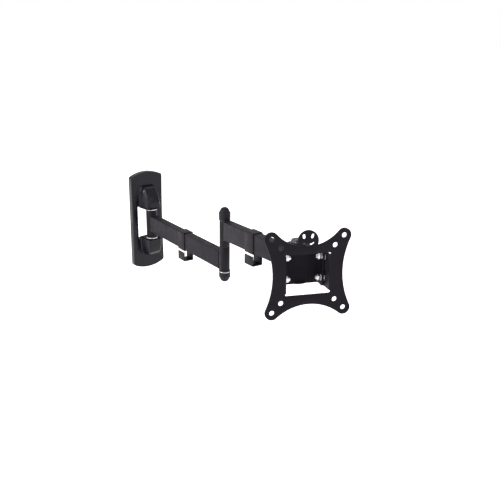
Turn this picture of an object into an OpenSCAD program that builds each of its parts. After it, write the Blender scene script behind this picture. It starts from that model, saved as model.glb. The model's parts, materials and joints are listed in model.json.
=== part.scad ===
// Full motion wall mount for a small television or monitor.
// Two welded tube arms swing on vertical bolts between a covered wall plate
// and a tilting VESA plate.
// Frame: millimetres, +Z up, the wall is the plane y = 0 and the mount reaches
// out along -Y. The origin is the centre of the wall screws on the plate's back.

/* [Pose at rest] */
// Swing of the first arm away from straight out of the wall, in degrees
arm1_angle = -8; // [-60:0.1:60]
// Bend of the second arm at the elbow, in degrees
elbow_angle = 1.4; // [-60:0.1:60]
// Turn of the head on the end of the second arm, in degrees
head_angle = -20.7; // [-60:0.1:60]
// Tilt of the VESA plate, positive with its top edge forward, in degrees
tilt_angle = -4.2; // [-5:0.1:15]

/* [Arms] */
// Distance between the wall pivot and the elbow
arm1_len = 260; // [240:5:300]
// Distance between the elbow and the head pivot
arm2_len = 182; // [170:1:220]
// Width of the arm tubes
tube_w = 15; // [14.5:0.5:16]
// Height of the arm tubes
tube_h = 30; // [28:1:31]
// Sheet thickness of the arm tubes
tube_wall = 1.6; // [1.2:0.1:2.5]
// Height of the second arm's centre above the first arm's centre
arm_rise = 52; // [50:0.5:53]
// Outer diameter of the pivot sleeves
sleeve_d = 16.5; // [16:0.5:17]

/* [Wall plate] */
// Width over the plastic covers
cover_w = 66.5; // [64:0.5:70]
// Height of the upper cover's highest point above the wall pivot's centre
cover_top = 95; // [93:1:100]
// Depth of the lower cover's lowest point below the wall pivot's centre
cover_bottom = 90; // [90:0.5:100]
// Rise of the arched top and bottom edges above the corners
cover_arch = 8; // [4:0.5:9]
// Depth of the plastic covers from the wall to their front face
cover_depth = 10; // [9:0.2:11]
// Distance of the wall pivot from the wall
pivot_out = 21.5; // [21:0.5:24]
// Distance between the two centre screws
stud_spacing = 152; // [150:1:154]

/* [Head] */
// Distance of the tilt axis in front of the head pivot
tilt_out = 25.2; // [25:0.1:28]
// Depth of the tilt axis behind the front face of the VESA plate
plate_gap = 21.7; // [21:0.1:23]
// Height of the tilt axis above the centre of the VESA plate
tilt_above_centre = 17.8; // [17:0.1:18.5]
// Side of the larger VESA hole square
vesa_large = 100; // [100:0.1:101]
// Side of the smaller VESA hole square
vesa_small = 75; // [75:0.1:76]
// Diameter of the VESA holes
vesa_hole_d = 7.2; // [5:0.1:8]

/* [Hidden] */
$fn = 64;
eps = 0.01;

// Colours
steel_colour = "#45444a";
plastic_colour = "#3b3a40";
nylon_colour = "#f2f1ec";
zinc_colour = "#c9cbcf";

// Fits
slack = 0.05;            // radial clearance of a shaft that turns in its bore
gap = 0.3;               // clearance between separate pieces that don't bear on each other
run = 0.1;               // clearance between flat faces that slide past each other

// Sheet steel of the brackets
sheet = 2.5;
bend_r = 3;

// Wall bracket and its ears
wall_sheet = 3;
window_w = 44;
window_h = 62;
ear_w = 26;
ear_end_r = 9.8;
ear_upper_z = 26.6;
ear_lower_z = -29.7;
stud_hole_d = 8;
anchor_hole_d = 6;
anchor_dx = 40;
anchor_dz = 130;
cover_wall = 2;
cover_edge = 1.8;
corner_r = 5;
bracket_margin = cover_wall + gap;

// Cover hoods, as levels of [height, base half width, front half width, front depth]
hood_rim_z = 31;
hood_wall = 1.5;
upper_hood = [
    [31, 17.5, 13.6, 33.4], [42, 17.5, 12.2, 33], [50, 17.5, 12.2, 30],
    [59, 17, 12, 25.4], [66.5, 14.4, 11.8, 20.4], [69.4, 12, 10.6, 13]
];
lower_hood = [
    [31, 17.5, 13.6, 33.4], [46, 16.8, 13.4, 33], [55, 15.2, 12.6, 32],
    [61, 12.6, 10.6, 27], [66, 8, 7, 14]
];

// Pivot bolts, sleeves and bushes
bore_d = 12;
flange_t = 1.5;
barrel_len = 14;
wall_bolt_d = 8;
wall_bolt_head_h = 5.3;
wall_bolt_af = 13;
elbow_bolt_d = 8;
elbow_bolt_af = 13;
elbow_head_h = 5.3;
elbow_nut_h = 8;
wall_sleeve_d = 20;
wall_sleeve_low = ear_lower_z + flange_t + run;
wall_sleeve_high = ear_upper_z - flange_t - run;

// Heights at the elbow, measured from the first arm's centre
elbow_low = -16;
elbow_joint = 23.5;
elbow_joint_t = 1;
elbow_high = 66.5;
elbow_washer_t = 1;
elbow_washer_d = 18.4;
top_washer_d = 14.4;
cap_d = 18.5;
cap_dome_d = 15.6;
cap_bore_d = 14.9;
cap_wall = 1.5;
cap_dome_h = 7.8;
top_cap_side_h = 12.5;
bottom_cap_side_h = 9.3;

// Head pivot
head_bolt_d = 10;
head_sleeve_low = arm_rise - 24.4;
head_sleeve_high = arm_rise + 20;
bracket_low = head_sleeve_low - flange_t - run - sheet;
head_nut_af = 17;
head_nut_h = 5.5;
head_washer_t = 1.5;

// Tilt bracket
tilt_axis_z = bracket_low + 41.9;
screw_drop = 30;
bracket_ear_in = 26.2;
bracket_ear_front = tilt_out + 6.5;
web_back = 11.5;
tab_r = 16.5;
screw_d = 5;
screw_hole_d = 5.1;
tilt_limit_up = 5;
tilt_limit_down = 15;
slot_half_w = 2.8;

// VESA plate outline
lobe_r = 9.7;
lobe_at = vesa_large / 2;
top_apex = 37.5;
bottom_apex = 41.5;
side_apex = 48.5;
plate_window_w = 62;
plate_window_top = 27.5;
plate_window_bottom = 28.3;
relief_r = 2.7;
notch_r = 1.9;
plate_ear_half_h = 24.5;
plate_ear_in = bracket_ear_in + sheet + 1;
plate_ear_back = 29.5;
tab_disc_r = 14.3;
tab_disc_z = 45.3;
oval_w = 4.2;

// Cable clips
clip_len = 21;
clip_wall = 1.4;
clip_fit = 0.15;
clip_drop = 20;
clip_lip_gap = 3;
clip1_at = 131;
clip2_at = 78.6;

// ---------------------------------------------------------------- frames

// Each frame has its arm or head reaching along -Y, with +X to its right.
module arm1_frame() {
    translate([0, -pivot_out, 0]) rotate([0, 0, arm1_angle]) children();
}

module arm2_frame() {
    arm1_frame() translate([0, -arm1_len, 0]) rotate([0, 0, elbow_angle]) children();
}

module head_frame() {
    arm2_frame() translate([0, -arm2_len, 0]) rotate([0, 0, head_angle]) children();
}

// Origin at the centre of the VESA plate's front face
module plate_frame() {
    head_frame() translate([0, -tilt_out, tilt_axis_z]) rotate([tilt_angle, 0, 0])
        translate([0, -plate_gap, -tilt_above_centre]) children();
}

// ---------------------------------------------------------------- helpers

// A flat shape drawn in X and Z, with its near face at y and its thickness towards +Y
module slab(y, thickness) {
    translate([0, y + thickness, 0]) rotate([90, 0, 0]) linear_extrude(thickness) children();
}

module tube(outer_d, inner_d, height) {
    difference() {
        cylinder(d = outer_d, h = height);
        translate([0, 0, -1]) cylinder(d = inner_d, h = height + 2);
    }
}

// A hexagon prism with a chamfer under its far face
module hexagon(across_flats, height) {
    intersection() {
        cylinder(d = across_flats / cos(30), h = height, $fn = 6);
        union() {
            cylinder(d = across_flats / cos(30) + 1, h = height * 0.8);
            translate([0, 0, height * 0.8 - eps])
                cylinder(d1 = across_flats / cos(30) + 0.2, d2 = across_flats * 0.95, h = height * 0.2 + eps, $fn = 64);
        }
    }
}

// A nut whose thread is left plain, standing on z = 0
module nut(across_flats, height, thread_d) {
    difference() {
        hexagon(across_flats, height);
        translate([0, 0, -1]) cylinder(d = thread_d, h = height + 2);
    }
}

// A rectangle with rounded corners, centred
module rounded_rect(w, h, r) {
    union() {
        square([w - 2 * r, h], center = true);
        square([w, h - 2 * r], center = true);
        for (sx = [-1, 1], sz = [-1, 1]) translate([sx * (w / 2 - r), sz * (h / 2 - r)]) circle(r = r, $fn = 32);
    }
}

// Nylon flanged bushes pressed into both ends of a sleeve that spans low to high
module bush_pair(low, high, shaft_d, flange_d) {
    for (end = [[low, 1], [high, -1]]) translate([0, 0, end[0]]) {
        flange_low = end[1] > 0 ? -flange_t : 0;
        barrel_low = end[1] > 0 ? -flange_t : -barrel_len;
        difference() {
            union() {
                translate([0, 0, flange_low]) cylinder(d = flange_d, h = flange_t);
                translate([0, 0, barrel_low]) cylinder(d = bore_d, h = barrel_len + flange_t);
            }
            translate([0, 0, barrel_low - 1]) cylinder(d = shaft_d + 2 * slack, h = barrel_len + flange_t + 2);
        }
    }
}

// ---------------------------------------------------------------- wall plate

// Upper half of the arched outline, from z = 0 up to its apex, shrunk by inset
module half_outline(apex, inset) {
    half_w = cover_w / 2 - inset;
    arch_r = (pow(cover_w / 2, 2) + pow(cover_arch, 2)) / (2 * cover_arch);
    corner_z = apex - arch_r + sqrt(pow(arch_r - inset, 2) - pow(half_w, 2));
    intersection() {
        translate([-half_w, 0]) square([2 * half_w, apex]);
        translate([0, apex - arch_r]) circle(r = arch_r - inset, $fn = 180);
        union() {
            translate([-half_w, 0]) square([2 * half_w, corner_z - corner_r]);
            translate([-half_w + corner_r, 0]) square([2 * (half_w - corner_r), apex]);
            for (sx = [-1, 1]) translate([sx * (half_w - corner_r), corner_z - corner_r + 0.8]) circle(r = corner_r);
        }
    }
}

module bracket_outline() {
    half_outline(cover_top, bracket_margin);
    mirror([0, 1]) half_outline(cover_bottom, bracket_margin);
}

module wall_bracket() {
    color(steel_colour) difference() {
        union() {
            slab(-wall_sheet, wall_sheet) difference() {
                bracket_outline();
                square([window_w, window_h], center = true);
            }
            wall_ear(ear_upper_z, window_h / 2);
            wall_ear(ear_lower_z - wall_sheet, -window_h / 2);
        }
        for (side = [-1, 1]) translate([0, 0, side * stud_spacing / 2]) rotate([90, 0, 0])
            translate([0, 0, -1]) cylinder(d = stud_hole_d, h = wall_sheet + 2);
        for (sx = [-1, 1], sz = [-1, 1]) translate([sx * anchor_dx / 2, 0, sz * anchor_dz / 2]) rotate([90, 0, 0])
            translate([0, 0, -1]) cylinder(d = anchor_hole_d, h = wall_sheet + 2);
        translate([0, -pivot_out, ear_lower_z - wall_sheet - 1])
            cylinder(d = wall_bolt_d + 2 * slack, h = ear_upper_z - ear_lower_z + 2 * wall_sheet + 2);
    }
}

// A tongue bent forward out of the window's edge, with a round end about the pivot
module wall_ear(low, edge) {
    translate([0, 0, low]) linear_extrude(wall_sheet) union() {
        translate([-ear_w / 2, -pivot_out]) square([ear_w, pivot_out]);
        difference() {
            translate([0, -pivot_out]) circle(r = ear_w / 2);
            translate([-ear_w, -pivot_out - ear_w]) square([2 * ear_w, ear_w - ear_end_r]);
        }
    }
    // The bend joins the tongue to the edge of the window
    bend_low = min(low, edge - 1);
    bend_high = max(low + wall_sheet, edge + 1);
    translate([-ear_w / 2, -wall_sheet, bend_low]) cube([ear_w, wall_sheet, bend_high - bend_low]);
}

// One level of a hood: a trapezoid from the cover's face to the hood's front, at height z
module hood_level(z, base_half, front_half, front_y, inset) {
    translate([0, 0, z]) linear_extrude(0.2) polygon([
        [-base_half + inset, -cover_depth + 1], [base_half - inset, -cover_depth + 1],
        [base_half - inset, -cover_depth], [front_half - inset + 1, -front_y + inset + 2.5],
        [front_half - inset - 1.5, -front_y + inset],
        [-front_half + inset + 1.5, -front_y + inset], [-front_half + inset - 1, -front_y + inset + 2.5],
        [-base_half + inset, -cover_depth]
    ]);
}

// A solid hood through its levels, each [z, base half width, front half width, front depth]
module hood(levels, inset, drop) {
    hull() for (k = [0 : len(levels) - 1])
        hood_level(levels[k][0] - (k > 0 ? inset : drop), levels[k][1], levels[k][2], levels[k][3], inset);
}

// One plastic cover half, drawn as the upper one
module cover_half(apex, levels) {
    difference() {
        union() {
            hull() {
                slab(-cover_depth + cover_edge, cover_depth - cover_edge) half_outline(apex, 0);
                slab(-cover_depth, cover_depth) half_outline(apex, cover_edge);
            }
            hood(levels, 0, 0);
        }
        // Inside of the tray, with a wall left round the window
        difference() {
            slab(-cover_depth + cover_wall, cover_depth - cover_wall + 1) half_outline(apex, cover_wall);
            translate([-window_w / 2 - cover_wall, -cover_depth - 1, -1])
                cube([window_w + 2 * cover_wall, cover_depth - wall_sheet + 1 - gap, window_h / 2 + 1]);
        }
        // The window
        translate([-window_w / 2, -cover_depth - 1, -1]) cube([window_w, cover_depth + 2, hood_rim_z + 1]);
        // Room inside the hood for the ear, the bolt head and the nut
        hood(levels, hood_wall, 2);
        // Slot for the ear where it passes through the cover's front
        translate([-ear_w / 2 - gap, -cover_depth - 1, 0])
            cube([ear_w + 2 * gap, cover_depth + 2, wall_sheet + gap - ear_lower_z]);
    }
    // Ribs that grip the edge of the steel plate
    for (sx = [-1, 1]) translate([sx * (cover_w / 2 - bracket_margin / 2 - cover_wall / 2) - gap / 2, -wall_sheet, 50])
        cube([gap, 2.5, 16]);
}

module upper_cover() {
    color(plastic_colour) cover_half(cover_top, upper_hood);
}

module lower_cover() {
    color(plastic_colour) mirror([0, 0, 1]) cover_half(cover_bottom, lower_hood);
}

module wall_pivot_bolt() {
    low = ear_lower_z - wall_sheet - 8.6;
    high = ear_upper_z + wall_sheet;
    color(zinc_colour) translate([0, -pivot_out, 0]) union() {
        translate([0, 0, high]) hexagon(wall_bolt_af, wall_bolt_head_h);
        translate([0, 0, low]) cylinder(d = wall_bolt_d, h = high - low + eps);
    }
}

module wall_pivot_nut() {
    color(zinc_colour) translate([0, -pivot_out, ear_lower_z - wall_sheet]) mirror([0, 0, 1])
        nut(wall_bolt_af, 7.6, wall_bolt_d);
}

module wall_pivot_bushes() {
    color(nylon_colour) arm1_frame()
        bush_pair(wall_sleeve_low, wall_sleeve_high, wall_bolt_d, wall_sleeve_d + 0.6);
}

// ---------------------------------------------------------------- arms

// A rectangular tube along -Y that butts onto a sleeve at both ends
module arm_tube(length, z, near_d) {
    start = near_d / 2 - 1;
    finish = length - sleeve_d / 2 + 1;
    difference() {
        translate([0, -start, z]) rotate([90, 0, 0]) linear_extrude(finish - start) difference() {
            rounded_rect(tube_w, tube_h, 1.4);
            rounded_rect(tube_w - 2 * tube_wall, tube_h - 2 * tube_wall, 0.6);
        }
        translate([0, 0, z - tube_h]) cylinder(d = near_d, h = 2 * tube_h);
        translate([0, -length, z - tube_h]) cylinder(d = sleeve_d, h = 2 * tube_h);
    }
}

module arm1_tube() {
    color(steel_colour) arm1_frame() arm_tube(arm1_len, 0, wall_sleeve_d);
}

module arm1_wall_sleeve() {
    color(steel_colour) arm1_frame() translate([0, 0, wall_sleeve_low])
        tube(wall_sleeve_d, bore_d, wall_sleeve_high - wall_sleeve_low);
}

module arm1_elbow_sleeve() {
    color(steel_colour) arm1_frame() translate([0, -arm1_len, elbow_low])
        tube(sleeve_d, bore_d, elbow_joint - elbow_low);
}

module arm2_tube() {
    color(steel_colour) arm2_frame() arm_tube(arm2_len, arm_rise, sleeve_d);
}

module arm2_elbow_sleeve() {
    color(steel_colour) arm2_frame() translate([0, 0, elbow_joint + elbow_joint_t])
        tube(sleeve_d, bore_d, elbow_high - elbow_joint - elbow_joint_t);
}

module arm2_head_sleeve() {
    color(steel_colour) arm2_frame() translate([0, -arm2_len, head_sleeve_low])
        tube(sleeve_d, bore_d, head_sleeve_high - head_sleeve_low);
}

// A plastic collar round the tube with an open hook for cables below it
module cable_clip() {
    inner_w = tube_w + 2 * clip_fit;
    inner_h = tube_h + 2 * clip_fit;
    outer_w = inner_w + 2 * clip_wall;
    low = -inner_h / 2 - clip_drop;
    collar_low = -inner_h / 2 - clip_wall;
    translate([0, clip_len / 2, 0]) rotate([90, 0, 0]) linear_extrude(clip_len) difference() {
        union() {
            rounded_rect(outer_w, inner_h + 2 * clip_wall, 1.8);
            translate([outer_w / 2 - clip_wall, low + 1]) square([clip_wall, clip_drop + 4]);
            translate([-outer_w / 2 + 1, low]) square([outer_w - 2, clip_wall]);
            translate([outer_w / 2 - clip_wall, low + clip_wall]) intersection() {
                circle(r = clip_wall, $fn = 32);
                translate([0, -clip_wall]) square(clip_wall);
            }
            translate([-outer_w / 2 + clip_wall, low + clip_wall]) intersection() {
                circle(r = clip_wall, $fn = 32);
                translate([-clip_wall, -clip_wall]) square(clip_wall);
            }
            translate([-outer_w / 2, low + clip_wall]) square([clip_wall, collar_low - clip_lip_gap - low - clip_wall]);
        }
        rounded_rect(inner_w, inner_h, 1.2);
        // The split that lets the collar spring over the tube
        translate([-4, collar_low - 1]) square([1.5, clip_wall + 2]);
    }
}

module arm1_cable_clip() {
    color(plastic_colour) arm1_frame() translate([0, -clip1_at, 0]) cable_clip();
}

module arm2_cable_clip() {
    color(plastic_colour) arm2_frame() translate([0, -clip2_at, arm_rise]) cable_clip();
}

// ---------------------------------------------------------------- elbow

elbow_top_face = elbow_high + flange_t + run;
elbow_bottom_face = elbow_low - flange_t - elbow_washer_t;

module elbow_bolt() {
    low = elbow_bottom_face;
    high = elbow_top_face + elbow_washer_t + elbow_nut_h + 0.4;
    color(zinc_colour) arm1_frame() translate([0, -arm1_len, 0]) union() {
        translate([0, 0, low]) mirror([0, 0, 1]) hexagon(elbow_bolt_af, elbow_head_h);
        translate([0, 0, low - eps]) cylinder(d = elbow_bolt_d, h = high - low + eps);
    }
}

module elbow_nut() {
    color(zinc_colour) arm1_frame() translate([0, -arm1_len, elbow_top_face + elbow_washer_t])
        nut(elbow_bolt_af, elbow_nut_h, elbow_bolt_d);
}

module elbow_washers() {
    color(zinc_colour) arm1_frame() translate([0, -arm1_len, 0]) {
        translate([0, 0, elbow_bottom_face]) tube(elbow_washer_d, elbow_bolt_d, elbow_washer_t);
        translate([0, 0, elbow_top_face]) tube(top_washer_d, elbow_bolt_d, elbow_washer_t);
    }
}

module elbow_lower_bushes() {
    color(nylon_colour) arm1_frame() translate([0, -arm1_len, 0]) difference() {
        bush_pair(elbow_low, elbow_joint, elbow_bolt_d, elbow_washer_d);
        // The middle flange is thinner and just inside the sleeves
        translate([0, 0, elbow_joint + (elbow_joint_t - run) / 2]) cylinder(d = 30, h = 5);
        translate([0, 0, elbow_joint]) tube(30, sleeve_d - 1, 5);
    }
}

module elbow_upper_bushes() {
    color(nylon_colour) arm2_frame() difference() {
        bush_pair(elbow_joint + elbow_joint_t, elbow_high, elbow_bolt_d, sleeve_d - 0.2);
        translate([0, 0, elbow_joint - 5]) cylinder(d = 30, h = 5 + (elbow_joint_t + run) / 2);
        translate([0, 0, elbow_joint - 5]) tube(30, sleeve_d - 1, 5 + elbow_joint_t);
    }
}

// A cap that snaps over a hexagon, standing on z = 0: a collar with a smaller dome on top
module pivot_cap(side_h) {
    difference() {
        union() {
            cylinder(d = cap_d, h = side_h - 0.5);
            translate([0, 0, side_h - 0.5 - eps]) cylinder(d1 = cap_d, d2 = cap_d - 1, h = 0.5 + eps);
            translate([0, 0, side_h - eps]) cap_dome(cap_dome_d / 2, cap_dome_h);
        }
        translate([0, 0, -1]) cylinder(d = cap_bore_d, h = side_h - cap_wall + 1);
        translate([0, 0, side_h - cap_wall - eps]) cap_dome(cap_dome_d / 2 - cap_wall, cap_dome_h);
    }
}

// Half an ellipsoid standing on z = 0, turned about Z
module cap_dome(r, dome_h) {
    rotate_extrude() intersection() {
        scale([1, dome_h / r]) circle(r = r);
        square([r, dome_h]);
    }
}

module elbow_top_cap() {
    color(plastic_colour) arm1_frame() translate([0, -arm1_len, elbow_top_face]) pivot_cap(top_cap_side_h);
}

module elbow_bottom_cap() {
    color(plastic_colour) arm1_frame() translate([0, -arm1_len, elbow_bottom_face]) mirror([0, 0, 1])
        pivot_cap(bottom_cap_side_h);
}

// ---------------------------------------------------------------- head

head_tab_top = head_sleeve_high + flange_t + run + sheet;

// A folded channel with two tabs about the head pivot and two ears for the tilt screws
module tilt_bracket() {
    outer_half = bracket_ear_in + sheet;
    color(steel_colour) head_frame() difference() {
        union() {
            // Web and ears, bent from one strip
            translate([0, 0, bracket_low]) linear_extrude(head_tab_top - bracket_low) difference() {
                union() {
                    translate([-outer_half + bend_r, -web_back - bend_r]) square([2 * (outer_half - bend_r), bend_r]);
                    translate([-outer_half, -bracket_ear_front])
                        square([2 * outer_half, bracket_ear_front - web_back - bend_r]);
                    for (sx = [-1, 1]) translate([sx * (outer_half - bend_r), -web_back - bend_r]) circle(r = bend_r);
                }
                translate([-bracket_ear_in, -bracket_ear_front - 1])
                    square([2 * bracket_ear_in, bracket_ear_front + 1 - web_back - sheet]);
            }
            for (z = [bracket_low, head_tab_top - sheet]) translate([0, 0, z]) linear_extrude(sheet) union() {
                circle(r = tab_r);
                translate([-tab_r, -web_back - 1]) square([2 * tab_r, web_back + 1]);
            }
        }
        translate([0, 0, bracket_low - 1]) cylinder(d = head_bolt_d, h = head_tab_top - bracket_low + 2);
        for (z = [tilt_axis_z, tilt_axis_z - screw_drop]) translate([-outer_half - 1, -tilt_out, z])
            rotate([0, 90, 0]) cylinder(d = screw_hole_d, h = 2 * outer_half + 2);
        // Rounded front corners of the ears
        for (z = [bracket_low, head_tab_top]) translate([0, -bracket_ear_front, z])
            corner_cut(4, z > arm_rise ? -1 : 1, 2 * outer_half + 2);
    }
}

// Removes a corner outside a rounding of radius r, along X; up is 1 at a bottom corner, -1 at a top one
module corner_cut(r, up, length) {
    translate([-length / 2, 0, 0]) difference() {
        translate([0, -1, up > 0 ? -1 : -r]) cube([length, r + 1, r + 1]);
        translate([-1, r, up * r]) rotate([0, 90, 0]) cylinder(r = r, h = length + 2);
    }
}

module head_pivot_bolt() {
    high = head_tab_top + head_washer_t + head_nut_h + 0.6;
    head_h = 5;
    head_r = 9;
    dome_r = (pow(head_r, 2) + pow(head_h, 2)) / (2 * head_h);
    color(zinc_colour) head_frame() union() {
        translate([0, 0, bracket_low]) mirror([0, 0, 1]) rotate_extrude() intersection() {
            translate([0, head_h - dome_r]) circle(r = dome_r);
            square([head_r, head_h]);
        }
        translate([0, 0, bracket_low - eps]) cylinder(d = head_bolt_d, h = high - bracket_low + eps);
    }
}

module head_pivot_nut() {
    color(zinc_colour) head_frame() translate([0, 0, head_tab_top + head_washer_t])
        nut(head_nut_af, head_nut_h, head_bolt_d);
}

module head_pivot_washer() {
    color(zinc_colour) head_frame() translate([0, 0, head_tab_top]) tube(21, head_bolt_d, head_washer_t);
}

module head_pivot_bushes() {
    color(nylon_colour) arm2_frame() translate([0, -arm2_len, 0])
        bush_pair(head_sleeve_low, head_sleeve_high, head_bolt_d, sleeve_d + 1.6);
}

// ---------------------------------------------------------------- VESA plate

// Radius of an edge arc with its apex at distance a, tangent to the lobes
function arc_r(a) = (pow(lobe_at, 2) + pow(lobe_at - a, 2) - pow(lobe_r, 2)) / (2 * (lobe_r + lobe_at - a));

module edge_arc(apex, turn) {
    rotate(turn) translate([0, apex + arc_r(apex)]) circle(r = arc_r(apex), $fn = 200);
}

module plate_outline() {
    reach = lobe_at + lobe_r;
    difference() {
        union() {
            square([2 * lobe_at, 2 * (lobe_at + 6)], center = true);
            square([2 * (lobe_at + 8.6), 2 * (lobe_at - 4.2)], center = true);
            for (sx = [-1, 1], sz = [-1, 1]) translate([sx * lobe_at, sz * lobe_at]) circle(r = lobe_r);
        }
        edge_arc(top_apex, 0);
        edge_arc(bottom_apex, 180);
        edge_arc(side_apex, 90);
        edge_arc(side_apex, -90);
    }
    intersection() {
        translate([0, tab_disc_z]) circle(r = tab_disc_r);
        translate([-tab_disc_r, 30]) square([2 * tab_disc_r, reach]);
    }
}

// Openings in the round tab: two ovals and a curved slot
module tab_openings() {
    for (sx = [-1, 1]) translate([sx * 5.9, 51.3]) rotate(sx * -14) union() {
        square([oval_w, 2.4], center = true);
        for (sz = [-1, 1]) translate([0, sz * 1.2]) circle(d = oval_w, $fn = 32);
    }
    intersection() {
        difference() {
            translate([0, 49.5]) circle(r = 11.2);
            translate([0, 52.5]) circle(r = 11.4);
        }
        translate([-8.4, 36]) square([16.8, 7.4]);
    }
}

module vesa_plate() {
    ear_out = plate_ear_in + sheet;
    color(steel_colour) plate_frame() difference() {
        union() {
            slab(0, sheet) difference() {
                plate_outline();
                tab_openings();
                for (s = [vesa_large / 2, vesa_small / 2], sx = [-1, 1], sz = [-1, 1])
                    translate([sx * s, sz * s]) circle(d = vesa_hole_d);
                translate([-plate_ear_in, -plate_window_bottom])
                    square([2 * plate_ear_in, plate_window_top + plate_window_bottom]);
                // Bend reliefs: half discs at the window's upper corners, notches at the lower ones
                for (sx = [-1, 1]) translate([sx * plate_ear_in, 0]) union() {
                    intersection() {
                        translate([0, plate_window_top]) circle(r = relief_r);
                        translate([-relief_r, plate_window_top - 2 * relief_r]) square(2 * relief_r);
                    }
                    translate([0, notch_r - plate_window_bottom]) circle(r = notch_r, $fn = 48);
                }
            }
            for (sx = [-1, 1]) plate_ear(sx);
        }
        // Outer radius of each bend, where the front face turns into the ear
        for (sx = [-1, 1]) translate([sx * plate_ear_in, 0, 0]) mirror([sx < 0 ? 1 : 0, 0, 0]) difference() {
            translate([-1, -1, -plate_window_bottom - 1]) cube([1 + 1.8, 1 + 1.8, 2 * plate_window_bottom + 2]);
            translate([1.8, 1.8, -plate_window_bottom - 2]) cylinder(r = 1.8, h = 2 * plate_window_bottom + 4);
        }
    }
}

// A side ear with the tilt pivot hole and the curved slot that limits the tilt
module plate_ear(side) {
    x = side > 0 ? plate_ear_in : -plate_ear_in - sheet;
    pivot = [plate_gap, tilt_above_centre];
    translate([x, 0, 0]) rotate([90, 0, 90]) linear_extrude(sheet) difference() {
        union() {
            square_from([0, -plate_ear_half_h], [plate_ear_back - 7, plate_ear_half_h]);
            square_from([0, -plate_ear_half_h + 10], [plate_ear_back, plate_ear_half_h - 5]);
            translate([plate_ear_back - 5, plate_ear_half_h - 5]) circle(r = 5, $fn = 48);
            translate([plate_ear_back - 10, -plate_ear_half_h + 10]) circle(r = 10, $fn = 48);
        }
        translate(pivot) circle(d = screw_d + 2 * slack);
        tilt_slot(pivot);
    }
}

module square_from(low, high) {
    translate(low) square(high - low);
}

// A curved slot about the tilt pivot, open enough for the full tilt
module tilt_slot(pivot) {
    first = -90 - tilt_limit_down;
    last = -90 + tilt_limit_up;
    translate(pivot) {
        intersection() {
            difference() {
                circle(r = screw_drop + slot_half_w, $fn = 128);
                circle(r = screw_drop - slot_half_w, $fn = 128);
            }
            polygon([[0, 0], 60 * [cos(first), sin(first)], 60 * [cos(last), sin(last)]]);
        }
        for (a = [first, last]) translate(screw_drop * [cos(a), sin(a)]) circle(r = slot_half_w, $fn = 48);
    }
}

// ---------------------------------------------------------------- tilt screws

friction_t = 0.9;
washer_t = 1;
outer_stack = plate_ear_in + sheet + run + washer_t;
inner_stack = bracket_ear_in - washer_t;
nut_h = 5;
screw_tail = 2.2;

// Places children at one screw on both sides, with +Z pointing outwards along the screw
module at_tilt_screws(heights) {
    head_frame() for (side = [-1, 1], z = heights) translate([0, -tilt_out, z]) rotate([0, side * 90, 0]) children();
}

// A pan head machine screw, seen from its head along -Z
module tilt_screw() {
    union() {
        translate([0, 0, outer_stack]) difference() {
            cylinder(d1 = 9.4, d2 = 7.6, h = 3.4);
            for (turn = [0, 90]) rotate(turn) translate([-2.6, -0.5, 1.6]) cube([5.2, 1, 3]);
        }
        translate([0, 0, inner_stack - nut_h - screw_tail])
            cylinder(d = screw_d, h = outer_stack - inner_stack + nut_h + screw_tail + eps);
    }
}

module tilt_pivot_screws() {
    color(zinc_colour) at_tilt_screws([tilt_axis_z]) tilt_screw();
}

module tilt_slot_screws() {
    color(zinc_colour) at_tilt_screws([tilt_axis_z - screw_drop]) tilt_screw();
}

module tilt_friction_washers() {
    color(nylon_colour) at_tilt_screws([tilt_axis_z, tilt_axis_z - screw_drop])
        translate([0, 0, bracket_ear_in + sheet]) tube(13, screw_d, friction_t);
}

module tilt_outer_washers() {
    color(zinc_colour) at_tilt_screws([tilt_axis_z, tilt_axis_z - screw_drop])
        translate([0, 0, plate_ear_in + sheet + run]) tube(12, screw_d, washer_t);
}

module tilt_inner_washers() {
    color(zinc_colour) at_tilt_screws([tilt_axis_z, tilt_axis_z - screw_drop])
        translate([0, 0, inner_stack]) tube(9.6, screw_d, washer_t);
}

module tilt_nuts() {
    color(zinc_colour) at_tilt_screws([tilt_axis_z, tilt_axis_z - screw_drop])
        translate([0, 0, inner_stack]) mirror([0, 0, 1]) nut(8, nut_h, screw_d);
}

wall_bracket();
upper_cover();
lower_cover();
wall_pivot_bolt();
wall_pivot_nut();
wall_pivot_bushes();
arm1_tube();
arm1_wall_sleeve();
arm1_elbow_sleeve();
arm1_cable_clip();
elbow_bolt();
elbow_nut();
elbow_washers();
elbow_lower_bushes();
elbow_upper_bushes();
elbow_top_cap();
elbow_bottom_cap();
arm2_tube();
arm2_elbow_sleeve();
arm2_head_sleeve();
arm2_cable_clip();
head_pivot_bolt();
head_pivot_nut();
head_pivot_washer();
head_pivot_bushes();
tilt_bracket();
vesa_plate();
tilt_pivot_screws();
tilt_slot_screws();
tilt_friction_washers();
tilt_outer_washers();
tilt_inner_washers();
tilt_nuts();
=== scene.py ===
import json
import math
import random

import bmesh
import bpy
from mathutils import Matrix, Vector


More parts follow.
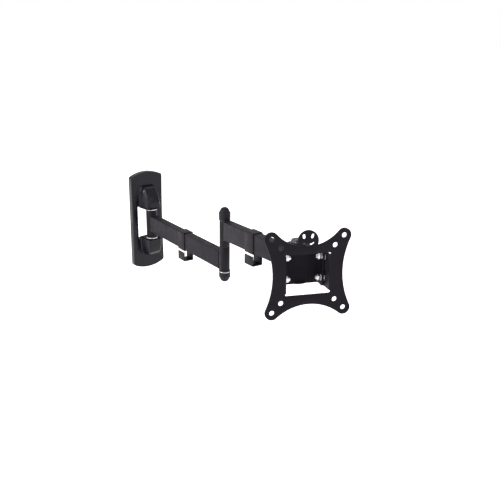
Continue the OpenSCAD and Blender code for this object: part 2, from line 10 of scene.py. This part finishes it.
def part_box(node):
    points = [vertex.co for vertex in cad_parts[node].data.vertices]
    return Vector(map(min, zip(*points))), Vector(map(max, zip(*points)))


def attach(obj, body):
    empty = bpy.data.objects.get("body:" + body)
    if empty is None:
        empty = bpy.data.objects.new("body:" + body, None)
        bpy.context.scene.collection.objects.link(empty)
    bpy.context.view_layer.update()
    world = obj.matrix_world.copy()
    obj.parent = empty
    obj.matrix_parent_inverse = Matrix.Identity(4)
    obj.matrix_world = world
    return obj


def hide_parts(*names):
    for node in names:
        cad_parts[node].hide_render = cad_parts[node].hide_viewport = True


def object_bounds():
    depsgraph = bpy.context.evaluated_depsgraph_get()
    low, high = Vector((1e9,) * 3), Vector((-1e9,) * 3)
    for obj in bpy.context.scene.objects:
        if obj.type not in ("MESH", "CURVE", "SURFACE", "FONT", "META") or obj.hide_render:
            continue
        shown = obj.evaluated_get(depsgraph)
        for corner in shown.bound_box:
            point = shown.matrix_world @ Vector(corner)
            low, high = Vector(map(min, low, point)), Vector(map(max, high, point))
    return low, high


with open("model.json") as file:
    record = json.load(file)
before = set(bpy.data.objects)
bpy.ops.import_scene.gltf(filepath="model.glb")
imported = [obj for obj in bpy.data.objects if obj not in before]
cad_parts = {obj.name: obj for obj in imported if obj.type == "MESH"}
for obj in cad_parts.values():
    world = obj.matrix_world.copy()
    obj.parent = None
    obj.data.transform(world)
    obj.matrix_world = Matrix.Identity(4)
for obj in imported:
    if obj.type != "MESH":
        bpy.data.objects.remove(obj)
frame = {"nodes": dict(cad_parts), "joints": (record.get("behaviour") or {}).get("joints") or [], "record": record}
cad_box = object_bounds()
nodes = frame["nodes"]
record = frame["record"]
joints = {j["name"]: j for j in frame["joints"]}
MM = 0.001

# ------------------------------------------------------------------ frames
# Every frame has the arm or head reaching along its -Y, as in the CAD.


def joint_at(name):
    return Vector(joints[name]["pos_m"])


def z_turn(direction):
    """A turn about Z that takes -Y to the horizontal part of direction."""
    return Matrix.Rotation(math.atan2(direction.x, -direction.y), 4, "Z")


PIVOT = joint_at("wall_swivel")
ELBOW = joint_at("elbow")
HEAD = joint_at("head_swivel")
TILT = joint_at("tilt")
PLATE_NORMAL = Vector(next(m for m in record["mounts"] if m["name"] == "vesa_100")["axis"])

ARM1_FRAME = Matrix.Translation(PIVOT) @ z_turn(ELBOW - PIVOT)
ARM2_FRAME = Matrix.Translation(ELBOW) @ z_turn(HEAD - ELBOW)
HEAD_FRAME = Matrix.Translation(HEAD) @ z_turn(PLATE_NORMAL)
ARM1_LENGTH = (ELBOW - PIVOT).length / MM
ARM2_LENGTH = (HEAD - ELBOW).length / MM
TILT_LOCAL = (HEAD_FRAME.inverted() @ TILT) / MM


# ------------------------------------------------------------------ materials


class Nodes:
    """Short names for building a node tree."""

    def __init__(self, name):
        self.mat = bpy.data.materials.new(name)
        self.mat.use_nodes = True
        self.tree = self.mat.node_tree
        self.shader = self.tree.nodes["Principled BSDF"]
        coord = self.add("ShaderNodeTexCoord")
        self.coord = coord.outputs["Object"]

    def add(self, kind, **inputs):
        node = self.tree.nodes.new(kind)
        for key, value in inputs.items():
            node.inputs[key.replace("_", " ")].default_value = value
        return node

    def link(self, a, b):
        self.tree.links.new(a, b)

    def noise(self, scale, detail=4.0, roughness=0.55):
        node = self.add("ShaderNodeTexNoise", Scale=scale, Detail=detail, Roughness=roughness)
        self.link(self.coord, node.inputs["Vector"])
        return node.outputs["Fac"]

    def ramp(self, value, low, high, start, end):
        node = self.add("ShaderNodeMapRange")
        node.clamp = True
        for i, v in zip((1, 2, 3, 4), (low, high, start, end)):
            node.inputs[i].default_value = v
        self.link(value, node.inputs[0])
        return node.outputs[0]

    def mix(self, factor, a, b):
        node = self.tree.nodes.new("ShaderNodeMix")
        node.data_type = "RGBA"
        self.link(factor, node.inputs["Factor"])
        for socket, value in ((node.inputs["A"], a), (node.inputs["B"], b)):
            if isinstance(value, tuple):
                socket.default_value = (*value, 1)
            else:
                self.link(value, socket)
        return node.outputs["Result"]

    def maths(self, operation, a, b):
        node = self.tree.nodes.new("ShaderNodeMath")
        node.operation = operation
        node.use_clamp = True
        for socket, value in zip(node.inputs, (a, b)):
            if isinstance(value, (int, float)):
                socket.default_value = value
            else:
                self.link(value, socket)
        return node.outputs[0]

    def edges(self, radius):
        """About 1 on convex edges within radius, 0 on flat faces."""
        bevel = self.add("ShaderNodeBevel", Radius=radius)
        bevel.samples = 4
        geometry = self.tree.nodes.new("ShaderNodeNewGeometry")
        dot = self.tree.nodes.new("ShaderNodeVectorMath")
        dot.operation = "DOT_PRODUCT"
        self.link(bevel.outputs[0], dot.inputs[0])
        self.link(geometry.outputs["Normal"], dot.inputs[1])
        return self.ramp(dot.outputs["Value"], 0.985, 0.90, 0.0, 1.0)

    def bump(self, height, strength, distance):
        node = self.add("ShaderNodeBump", Strength=strength, Distance=distance)
        self.link(height, node.inputs["Height"])
        self.link(node.outputs[0], self.shader.inputs["Normal"])

    def constant(self, **values):
        for key, value in values.items():
            self.shader.inputs[key.replace("_", " ")].default_value = value


def scaled(colour, factor):
    return tuple(factor * c for c in colour)


def powder_coat(name, colour, worn, rough_low, rough_high, grain, strength, specular=0.2):
    """Fine orange peel over a flat satin colour, a little thin on the edges."""
    n = Nodes(name)
    patch = n.noise(14, 3)
    shade = n.mix(n.ramp(patch, 0.35, 0.65, 0.0, 1.0), scaled(colour, 0.86), scaled(colour, 1.12))
    scuff = n.maths("MULTIPLY", n.edges(0.0007), n.ramp(n.noise(260, 3), 0.35, 0.7, 0.15, 1.0))
    n.link(n.mix(n.maths("MULTIPLY", scuff, 0.75), shade, worn), n.shader.inputs["Base Color"])
    rough = n.ramp(n.noise(90, 4), 0.3, 0.7, rough_low, rough_high)
    n.link(rough, n.shader.inputs["Roughness"])
    n.bump(n.noise(grain, 2, 0.6), strength, 0.0002)
    n.constant(Specular_IOR_Level=specular)
    return n.mat


def moulded_plastic(name, colour, worn, rough_low, rough_high, pebble, strength, specular=0.3):
    """Moulded black plastic with a pebbled skin."""
    n = Nodes(name)
    cells = n.add("ShaderNodeTexVoronoi", Scale=pebble)
    cells.feature = "SMOOTH_F1"
    n.link(n.coord, cells.inputs["Vector"])
    shade = n.mix(n.ramp(n.noise(30, 3), 0.35, 0.65, 0.0, 1.0), scaled(colour, 0.85), scaled(colour, 1.15))
    n.link(n.mix(n.maths("MULTIPLY", n.edges(0.0008), 0.5), shade, worn), n.shader.inputs["Base Color"])
    n.link(n.ramp(n.noise(55, 4), 0.3, 0.7, rough_low, rough_high), n.shader.inputs["Roughness"])
    pits = n.maths("MULTIPLY", cells.outputs["Distance"], 0.8)
    height = n.maths("ADD", pits, n.maths("MULTIPLY", n.noise(pebble * 2.7, 2), 0.35))
    n.bump(height, strength, 0.0004)
    n.constant(Specular_IOR_Level=specular)
    return n.mat


def nylon(name, colour):
    """Turned white nylon with faint machining rings."""
    n = Nodes(name)
    wave = n.add("ShaderNodeTexWave", Scale=900.0, Distortion=1.5, Detail=2.0)
    wave.bands_direction = "Z"
    n.link(n.coord, wave.inputs["Vector"])
    shade = n.mix(n.ramp(n.noise(120, 3), 0.35, 0.7, 0.0, 1.0), colour, scaled(colour, 0.86))
    n.link(shade, n.shader.inputs["Base Color"])
    n.link(n.ramp(n.noise(200, 3), 0.3, 0.7, 0.38, 0.55), n.shader.inputs["Roughness"])
    n.bump(wave.outputs["Fac"], 0.15, 0.0001)
    n.constant(Subsurface_Weight=0.12)
    return n.mat


def zinc(name, colour, dull):
    """Bright zinc plate: metal with fine scratches and slightly cloudy patches."""
    n = Nodes(name)
    stretch = n.add("ShaderNodeMapping")
    stretch.inputs["Scale"].default_value = (60, 60, 1500)
    n.link(n.coord, stretch.inputs["Vector"])
    scratches = n.add("ShaderNodeTexNoise", Scale=1.0, Detail=3.0)
    n.link(stretch.outputs[0], scratches.inputs["Vector"])
    cloud = n.ramp(n.noise(160, 3), 0.35, 0.65, 0.0, 1.0)
    worn = n.maths("MULTIPLY", n.edges(0.0004), 0.6)
    shade = n.mix(cloud, colour, dull)
    n.link(n.mix(worn, shade, tuple(min(1.0, 1.15 * c) for c in colour)), n.shader.inputs["Base Color"])
    n.link(n.ramp(scratches.outputs["Fac"], 0.3, 0.7, 0.18, 0.36), n.shader.inputs["Roughness"])
    n.bump(scratches.outputs["Fac"], 0.12, 0.0001)
    n.constant(Metallic=1.0)
    return n.mat


# Each black finish is: colour, worn colour, roughness low and high, grain or pebble scale, bump, specular
ARM_BLACK = (0.0104, 0.0084, 0.0117)
ARM_WORN = (0.06, 0.056, 0.064)
PLATE_BLACK = (0.0085, 0.0070, 0.0098)
PLATE_WORN = (0.045, 0.041, 0.049)
WELD_WORN = (0.05, 0.047, 0.055)
COVER_BLACK = (0.0056, 0.0050, 0.0076)
COVER_WORN = (0.036, 0.034, 0.041)
CLIP_BLACK = (0.0100, 0.0082, 0.0108)
CLIP_WORN = (0.05, 0.047, 0.054)
MATERIALS = {
    "steel": powder_coat("black_powder_coat", ARM_BLACK, ARM_WORN, 0.5, 0.64, 2400, 0.35, 0.14),
    "cover_plastic": moulded_plastic(
        "black_cover_plastic", COVER_BLACK, COVER_WORN, 0.17, 0.30, 520, 0.8, 0.19),
    "clip_plastic": moulded_plastic(
        "black_clip_plastic", CLIP_BLACK, CLIP_WORN, 0.36, 0.52, 1500, 0.25, 0.115),
    "nylon": nylon("white_nylon", (0.80, 0.79, 0.76)),
    "black_nylon": nylon("black_nylon", (0.012, 0.0115, 0.013)),
    "zinc": zinc("bright_zinc", (0.72, 0.73, 0.76), (0.50, 0.52, 0.56)),
    "black_zinc": zinc("black_zinc_plate", (0.085, 0.08, 0.09), (0.04, 0.038, 0.044)),
}
PLATE_PAINT = powder_coat("plate_powder_coat", PLATE_BLACK, PLATE_WORN, 0.52, 0.66, 2400, 0.3, 0.075)
# The sleeves get a darker copy of the arms' powder coat, 0.6 times as dark: painted shade for the shade round the
# elbows and the wall pivot.
SLEEVE_SHADED_BLACK = scaled(ARM_BLACK, 0.6)
SLEEVE_SHADED_PAINT = powder_coat("sleeve_powder_coat_painted_shade", SLEEVE_SHADED_BLACK, ARM_WORN, 0.42, 0.55, 2400, 0.35, 0.12)
WELD_PAINT = powder_coat("weld_powder_coat", ARM_BLACK, WELD_WORN, 0.38, 0.52, 1800, 0.5, 0.22)

for part in record["subparts"]:
    obj = nodes[part["node"]]
    obj.data.materials.clear()
    obj.data.materials.append(MATERIALS[part["material_slot"]])
for name in ("vesa_plate", "tilt_bracket", "wall_bracket"):
    nodes[name].data.materials[0] = PLATE_PAINT
# The sleeves take the darker copy of the arms' coat: painted shade.
for name in ("arm1_wall_sleeve", "arm1_elbow_sleeve", "arm2_elbow_sleeve", "arm2_head_sleeve"):
    nodes[name].data.materials[0] = SLEEVE_SHADED_PAINT


def soften(obj, width, segments=2, angle=35):
    """Rounds the edges of a sheet or machined piece."""
    weld = obj.modifiers.new("weld", "WELD")
    weld.merge_threshold = 1e-6
    bevel = obj.modifiers.new("bevel", "BEVEL")
    bevel.width = width * MM
    bevel.segments = segments
    bevel.limit_method = "ANGLE"
    bevel.angle_limit = math.radians(angle)
    bevel.harden_normals = True
    bevel.miter_outer = "MITER_ARC"
    bevel.use_clamp_overlap = True


# Edge radius of each carried-over node, in millimetres
ROUNDINGS = {
    "vesa_plate": 0.45, "tilt_bracket": 0.4, "wall_bracket": 0.4,
    "arm1_cable_clip": 0.35, "arm2_cable_clip": 0.35,
    "arm1_tube": 0.2, "arm2_tube": 0.2,
    "arm1_wall_sleeve": 0.35, "arm1_elbow_sleeve": 0.35,
    "arm2_elbow_sleeve": 0.35, "arm2_head_sleeve": 0.35,
    "wall_pivot_bushes": 0.25, "elbow_washers": 0.25, "elbow_lower_bushes": 0.2, "elbow_upper_bushes": 0.2,
    "head_pivot_bushes": 0.25, "head_pivot_washer": 0.25, "head_pivot_nut": 0.3, "head_pivot_bolt": 0.25,
    "tilt_nuts": 0.15, "tilt_inner_washers": 0.12, "tilt_outer_washers": 0.12, "tilt_friction_washers": 0.12,
    "elbow_top_cap": 0.3, "elbow_bottom_cap": 0.3,
    "tilt_pivot_screws": 0.15, "tilt_slot_screws": 0.15,
}
for name, width in ROUNDINGS.items():
    for polygon in nodes[name].data.polygons:
        polygon.use_smooth = True
    soften(nodes[name], width)


# ------------------------------------------------------------------ pieces


def finish_piece(bm, name, body, material, sharp=32, frame_matrix=None):
    """Turns a bmesh made in millimetres into a piece that rides on body."""
    bmesh.ops.recalc_face_normals(bm, faces=bm.faces)
    bmesh.ops.scale(bm, vec=(MM, MM, MM), verts=bm.verts)
    if frame_matrix is not None:
        bmesh.ops.transform(bm, matrix=frame_matrix, verts=bm.verts)
    mesh = bpy.data.meshes.new(name)
    bm.to_mesh(mesh)
    bm.free()
    for polygon in mesh.polygons:
        polygon.use_smooth = True
    mesh.set_sharp_from_angle(angle=math.radians(sharp))
    obj = bpy.data.objects.new(name, mesh)
    bpy.context.scene.collection.objects.link(obj)
    mesh.materials.append(material)
    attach(obj, body)
    return obj


def solidify(obj, thickness):
    shell = obj.modifiers.new("wall", "SOLIDIFY")
    shell.thickness = thickness * MM
    shell.offset = -1
    shell.use_even_offset = True


# The wall plate's covers, in millimetres in the CAD's frame
COVER_HALF_W = 33.25
COVER_DEPTH = 10.0
COVER_ARCH = 8.0
CORNER_R = 5.0
WINDOW_HALF_W = 22.0
WINDOW_TOP = 31.0
COVER_WALL = 1.5
COVER_ROUNDING = 2.2
INNER_ROUNDING = 0.6
SEAM_HALF_GAP = 0.2
CORNER_STEPS = 7
ARCH_STEPS = 16
HOOD_FOOT_R = 1.4
HOOD_RIDGE_R = 3.4
HOOD_CROWN = 0.25

# Each level of a hood: height, half width at the foot, half width in front, depth from the wall
COVERS = {
    "upper_cover": dict(side=1, apex=95.0, levels=[
        (31, 17.5, 13.6, 33.4), (42, 17.5, 12.2, 33.0), (50, 17.5, 12.2, 30.2), (59, 17.0, 12.0, 25.4),
        (66.5, 14.4, 11.8, 20.4), (69.0, 12.4, 11.0, 15.0), (70.2, 11.0, 9.8, 10.2)]),
    "lower_cover": dict(side=-1, apex=90.0, levels=[
        (31, 17.5, 13.6, 33.4), (46, 16.8, 13.4, 33.0), (55, 15.2, 12.6, 32.0), (61, 12.6, 10.6, 27.0),
        (65, 8.6, 7.4, 16.0), (66.6, 6.0, 5.0, 10.2)]),
}


def arched_outline(apex):
    """Upper half of the outline from bottom right over the arch to bottom left."""
    arch_r = (COVER_HALF_W**2 + COVER_ARCH**2) / (2 * COVER_ARCH)
    centre_z = apex - arch_r
    corner = math.asin((COVER_HALF_W - CORNER_R) / (arch_r - CORNER_R))
    cx, cz = COVER_HALF_W - CORNER_R, centre_z + (arch_r - CORNER_R) * math.cos(corner)
    points = [(COVER_HALF_W, 0.0)]
    for k in range(CORNER_STEPS + 1):
        a = (math.pi / 2 - corner) * k / CORNER_STEPS
        points.append((cx + CORNER_R * math.cos(a), cz + CORNER_R * math.sin(a)))
    side_points = list(points)
    for k in range(1, ARCH_STEPS):
        a = corner * (1 - 2 * k / ARCH_STEPS)
        points.append((arch_r * math.sin(a), centre_z + arch_r * math.cos(a)))
    return points + [(-x, z) for x, z in reversed(side_points)]


def smooth_levels(levels, step=0.8, window=2.2):
    """Levels resampled every step and rounded over window, so creases become small radii."""

    def at(z):
        z = min(max(z, levels[0][0]), levels[-1][0])
        for a, b in zip(levels, levels[1:]):
            if z <= b[0]:
                t = (z - a[0]) / (b[0] - a[0])
                return [p + (q - p) * t for p, q in zip(a, b)]
        return list(levels[-1])

    low, high = levels[0][0], levels[-1][0]
    count = int((high - low) / step)
    out = []
    for k in range(count + 1):
        z = low + (high - low) * k / count
        reach = min(window, z - low, high - z) if k not in (0, count) else 0
        samples = [at(z + reach * (m / 4 - 1)) for m in range(9)]
        out.append([z] + [sum(v[i] for v in samples) / 9 for i in (1, 2, 3)])
    return out


def hood_ring(base, front, depth, face):
    """Points of one level of a hood from its right foot over the front to its left foot."""
    depth = max(depth, face + 0.05)
    rise = depth - face
    foot = min(HOOD_FOOT_R, rise * 0.5)
    ridge = min(HOOD_RIDGE_R, rise * 0.45, front * 0.5)
    side = Vector((front - base, -rise)).normalized()
    corner = Vector((front, -depth))
    start = Vector((base, -face)) + side * foot
    right = [Vector((base + foot, -face + 0.3)), Vector((base + foot * 0.45, -face - foot * 0.14)), start]
    right.append(start.lerp(corner - side * ridge, 0.5))
    a, b = corner - side * ridge, corner - Vector((ridge, 0))
    for k in range(7):
        t = k / 6
        right.append(a * (1 - t) ** 2 + corner * 2 * t * (1 - t) + b * t**2)
    right.append(Vector((front * 0.35, -depth - HOOD_CROWN * 0.7)))
    return right + [Vector((0, -depth - HOOD_CROWN))] + [Vector((-p.x, p.y)) for p in reversed(right)]


def make_cover(node, side, apex, levels):
    """A cover's arched plate with its window and hood; side -1 mirrors it below the seam."""
    bm = bmesh.new()
    gap = SEAM_HALF_GAP
    outline = arched_outline(apex)
    loop = [(x, max(z, gap)) for x, z in outline]
    loop += [(-WINDOW_HALF_W, gap), (-WINDOW_HALF_W, WINDOW_TOP)]
    loop += [(WINDOW_HALF_W, WINDOW_TOP), (WINDOW_HALF_W, gap)]
    front = [bm.verts.new((x, -COVER_DEPTH, z)) for x, z in loop]
    back = [bm.verts.new((x, 0.0, z)) for x, z in loop]
    bm.faces.new(front)
    outer, inner, seam = [], [], []
    n_outer = len(outline)
    for k in range(len(loop)):
        m = (k + 1) % len(loop)
        bm.faces.new((front[k], back[k], back[m], front[m]))
        edge = bm.edges.get((front[k], front[m]))
        if k < n_outer - 1:
            outer.append(edge)
        elif abs(loop[k][1] - gap) < 0.01 and abs(loop[m][1] - gap) < 0.01:
            seam.append(edge)
        else:
            inner.append(edge)
    rounding = dict(affect="EDGES", clamp_overlap=True)
    bmesh.ops.bevel(bm, geom=outer, offset=COVER_ROUNDING, segments=5, profile=0.55, **rounding)
    inner = [e for e in inner + seam if e.is_valid]
    bmesh.ops.bevel(bm, geom=inner, offset=INNER_ROUNDING, segments=3, profile=0.5, **rounding)
    rings = []
    for z, base, front_half, depth in smooth_levels(levels):
        rings.append([bm.verts.new((p.x, p.y, z)) for p in hood_ring(base, front_half, depth, COVER_DEPTH)])
    for a, b in zip(rings, rings[1:]):
        for k in range(len(a) - 1):
            bm.faces.new((a[k], a[k + 1], b[k + 1], b[k]))
    bm.faces.new(rings[-1])
    if side < 0:
        bmesh.ops.scale(bm, vec=(1, 1, -1), verts=bm.verts)
    plastic = MATERIALS["cover_plastic"]
    obj = finish_piece(bm, node + "_shell", "wall_mount", plastic, sharp=38)
    solidify(obj, COVER_WALL)
    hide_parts(node)


for node, shape in COVERS.items():
    make_cover(node, **shape)


def sweep(bm, path, radius_at, sides=10):
    """A round bar along path whose radius varies, closed at both ends."""
    rings = []
    count = len(path)
    for k, p in enumerate(path):
        ahead = path[min(k + 1, count - 1)] - path[max(k - 1, 0)]
        t = ahead.normalized()
        u = t.orthogonal().normalized() if abs(t.z) > 0.99 else t.cross(Vector((0, 0, 1))).normalized()
        v = t.cross(u)
        r = radius_at(k / (count - 1))
        rings.append([bm.verts.new(p + (u * math.cos(a) + v * math.sin(a)) * r)
                      for a in (2 * math.pi * m / sides for m in range(sides))])
    for a, b in zip(rings, rings[1:]):
        for m in range(sides):
            bm.faces.new((a[m], a[(m + 1) % sides], b[(m + 1) % sides], b[m]))
    for ring in (rings[0], rings[-1]):
        bm.faces.new(ring)


def weld_radius(length, size, seed):
    """Ripples about every 1.3 mm, uneven as a hand weld is, tapering at both ends."""
    rng = random.Random(seed)
    ripples = max(3, int(length / 1.3))
    phase = rng.random() * 6
    swell = [0.88 + 0.24 * rng.random() for _ in range(ripples + 2)]

    def radius(t):
        x = t * ripples
        i = int(x)
        base = swell[i] + (swell[i + 1] - swell[i]) * (x - i)
        taper = min(1.0, 0.35 + 6 * t, 0.35 + 6 * (1 - t))
        return size * base * taper * (1 + 0.13 * abs(math.sin(math.pi * x + phase)))

    return radius


TUBE_HALF_W = 7.5
TUBE_HALF_H = 15.0
SLEEVE_R = 8.25
WALL_SLEEVE_R = 10.0
ACROSS_BEAD_R = 1.15
UPRIGHT_BEAD_R = 1.35
BEAD_POINTS = 56


def weld_joint(name, body, matrix, sleeve_r, centre_z, towards):
    """Beads where a tube meets a sleeve that stands on the frame's origin; towards is -1 or 1 along Y."""
    bm = bmesh.new()
    reach = math.asin(min(0.98, (TUBE_HALF_W - 0.4) / sleeve_r))
    start = sleeve_r - 1.0
    for side in (-1, 1):
        count = BEAD_POINTS
        arc = []
        for k in range(count + 1):
            a = -reach + 2 * reach * k / count
            arc.append(Vector((sleeve_r * math.sin(a), towards * max(sleeve_r * math.cos(a), 1.5),
                               centre_z + side * (TUBE_HALF_H + 0.1))))
        sweep(bm, arc, weld_radius(2 * reach * sleeve_r, ACROSS_BEAD_R, name + str(side)))
        x = math.sqrt(max(sleeve_r**2 - start**2, 0)) + 1.1
        half_rise = TUBE_HALF_H - 0.6
        rise = [Vector((side * x, towards * (start + 0.1), centre_z + half_rise * (2 * k / count - 1)))
                for k in range(count + 1)]
        sweep(bm, rise, weld_radius(2 * TUBE_HALF_H, UPRIGHT_BEAD_R, name + "v" + str(side)))
    finish_piece(bm, name, body, WELD_PAINT, sharp=180, frame_matrix=matrix)


ARM2_Z = (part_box("arm2_tube")[0].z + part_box("arm2_tube")[1].z) / 2 / MM
AT_ELBOW1 = ARM1_FRAME @ Matrix.Translation((0, -ARM1_LENGTH * MM, 0))
AT_HEAD2 = ARM2_FRAME @ Matrix.Translation((0, -ARM2_LENGTH * MM, 0))
weld_joint("weld_first_arm_wall_end", "first_arm", ARM1_FRAME, WALL_SLEEVE_R, 0.0, -1)
weld_joint("weld_first_arm_elbow_end", "first_arm", AT_ELBOW1, SLEEVE_R, 0.0, 1)
weld_joint("weld_second_arm_elbow_end", "second_arm", ARM2_FRAME, SLEEVE_R, ARM2_Z, -1)
weld_joint("weld_second_arm_head_end", "second_arm", AT_HEAD2, SLEEVE_R, ARM2_Z, 1)

# The threads that show past the tilt nuts, as ridged sleeves over the plain screw tails


def add_thread(bm, matrix, radius, pitch, length):
    """A ridged sleeve round the Z axis of matrix, from its origin along +Z."""
    steps = 20
    profile = ((-0.5, -0.30), (-0.16, 0.12), (0.16, 0.12), (0.5, -0.30))
    rings = []
    for k in range(int(length / pitch * steps) + 1):
        a = 2 * math.pi * k / steps
        rings.append([bm.verts.new(matrix @ Vector((math.cos(a) * (radius + dr * pitch),
                                                    math.sin(a) * (radius + dr * pitch),
                                                    pitch * (k / steps + dz)))) for dz, dr in profile])
    for a, b in zip(rings, rings[1:]):
        for m in range(len(profile) - 1):
            bm.faces.new((a[m], a[m + 1], b[m + 1], b[m]))


TAIL_START = 18.2
TAIL_LENGTH = 2.0
SCREW_R = 2.5
SCREW_PITCH = 1.0
SCREW_DROP = 30.0
bm = bmesh.new()
for sx in (-1, 1):
    for drop in (0.0, SCREW_DROP):
        at = TILT_LOCAL - Vector((0, 0, drop)) + Vector((sx * TAIL_START, 0, 0))
        outwards = Matrix.Translation(at) @ Matrix.Rotation(sx * math.pi / 2, 4, "Y")
        add_thread(bm, outwards, SCREW_R, SCREW_PITCH, TAIL_LENGTH)
finish_piece(bm, "tilt_screw_threads", "head", MATERIALS["zinc"], 25, HEAD_FRAME)

# ------------------------------------------------------------------ stage

SENSOR_MM = 36.0
LENS_MM = 52.0
CAMERA_AT = Vector((-0.73636, -1.11741, 0.37635))
YAW, PITCH, ROLL = math.radians(-41.98), math.radians(-18.17), math.radians(0.66)
camera = bpy.data.objects.new("camera", bpy.data.cameras.new("camera"))
bpy.context.scene.collection.objects.link(camera)
camera.data.sensor_width = SENSOR_MM
camera.data.lens = LENS_MM
camera.matrix_world = (
    Matrix.Translation(CAMERA_AT)
    @ Matrix.Rotation(YAW, 4, "Z")
    @ Matrix.Rotation(math.pi / 2 + PITCH, 4, "X")
    @ Matrix.Rotation(ROLL, 4, "Z")
)
camera.data.clip_start = 0.01
camera.data.clip_end = 60
bpy.context.scene.camera = camera


def area_light(name, position, target, size, power, colour=(1, 1, 1)):
    light = bpy.data.lights.new(name, "AREA")
    light.shape = "RECTANGLE"
    light.size, light.size_y = size
    light.energy = power
    light.color = colour
    obj = bpy.data.objects.new(name, light)
    bpy.context.scene.collection.objects.link(obj)
    obj.location = position
    obj.rotation_mode = "QUATERNION"
    obj.rotation_quaternion = (Vector(target) - Vector(position)).to_track_quat("-Z", "Y")


centre = (cad_box[0] + cad_box[1]) / 2
area_light("key", centre + Vector((-1.65, -0.2, 0.95)), centre, (0.9, 0.9), 19, (1.0, 0.94, 1.07))
UPPER_HOOD_SIDE = Vector((-0.015, -0.015, 0.06))
area_light("rim", Vector((-1.365, 0.57, 0.36)), UPPER_HOOD_SIDE, (0.2, 0.2), 11)
area_light("fill", centre + Vector((0.4, -1.8, 0.7)), centre, (1.4, 1.0), 9, (1.0, 0.95, 1.05))
area_light("back", centre + Vector((0.9, 0.95, 1.3)), centre, (1.2, 0.8), 5)

world = bpy.data.worlds.new("studio")
bpy.context.scene.world = world
world.use_nodes = True
tree = world.node_tree
background = tree.nodes["Background"]
coord = tree.nodes.new("ShaderNodeTexCoord")
split = tree.nodes.new("ShaderNodeSeparateXYZ")
tree.links.new(coord.outputs["Generated"], split.inputs[0])
height = tree.nodes.new("ShaderNodeMapRange")
for i, v in zip((1, 2, 3, 4), (-0.1, 0.9, 0.40, 0.95)):
    height.inputs[i].default_value = v
tree.links.new(split.outputs["Z"], height.inputs[0])
seen = tree.nodes.new("ShaderNodeLightPath")
strength = tree.nodes.new("ShaderNodeMath")
strength.operation = "MAXIMUM"
tree.links.new(seen.outputs["Is Camera Ray"], strength.inputs[0])
tree.links.new(height.outputs[0], strength.inputs[1])
background.inputs["Color"].default_value = (1, 1, 1, 1)
tree.links.new(strength.outputs[0], background.inputs["Strength"])
bpy.context.scene.view_settings.view_transform = "Standard"

bm = bmesh.new()
bmesh.ops.create_grid(bm, x_segments=1, y_segments=1, size=12)
mesh = bpy.data.meshes.new("floor")
bm.to_mesh(mesh)
bm.free()
floor = bpy.data.objects.new("floor", mesh)
bpy.context.scene.collection.objects.link(floor)
FLOOR_DROP = 0.12
floor.location = (0, 0, cad_box[0].z - FLOOR_DROP)
n = Nodes("pale_floor")
mottle = n.ramp(n.noise(3, 3), 0.3, 0.7, 0.0, 1.0)
n.link(n.mix(mottle, (0.93, 0.93, 0.93), (0.95, 0.95, 0.95)), n.shader.inputs["Base Color"])
n.constant(Roughness=0.8, Emission_Strength=0.6)
n.shader.inputs["Emission Color"].default_value = (1, 1, 1, 1)
floor.data.materials.append(n.mat)
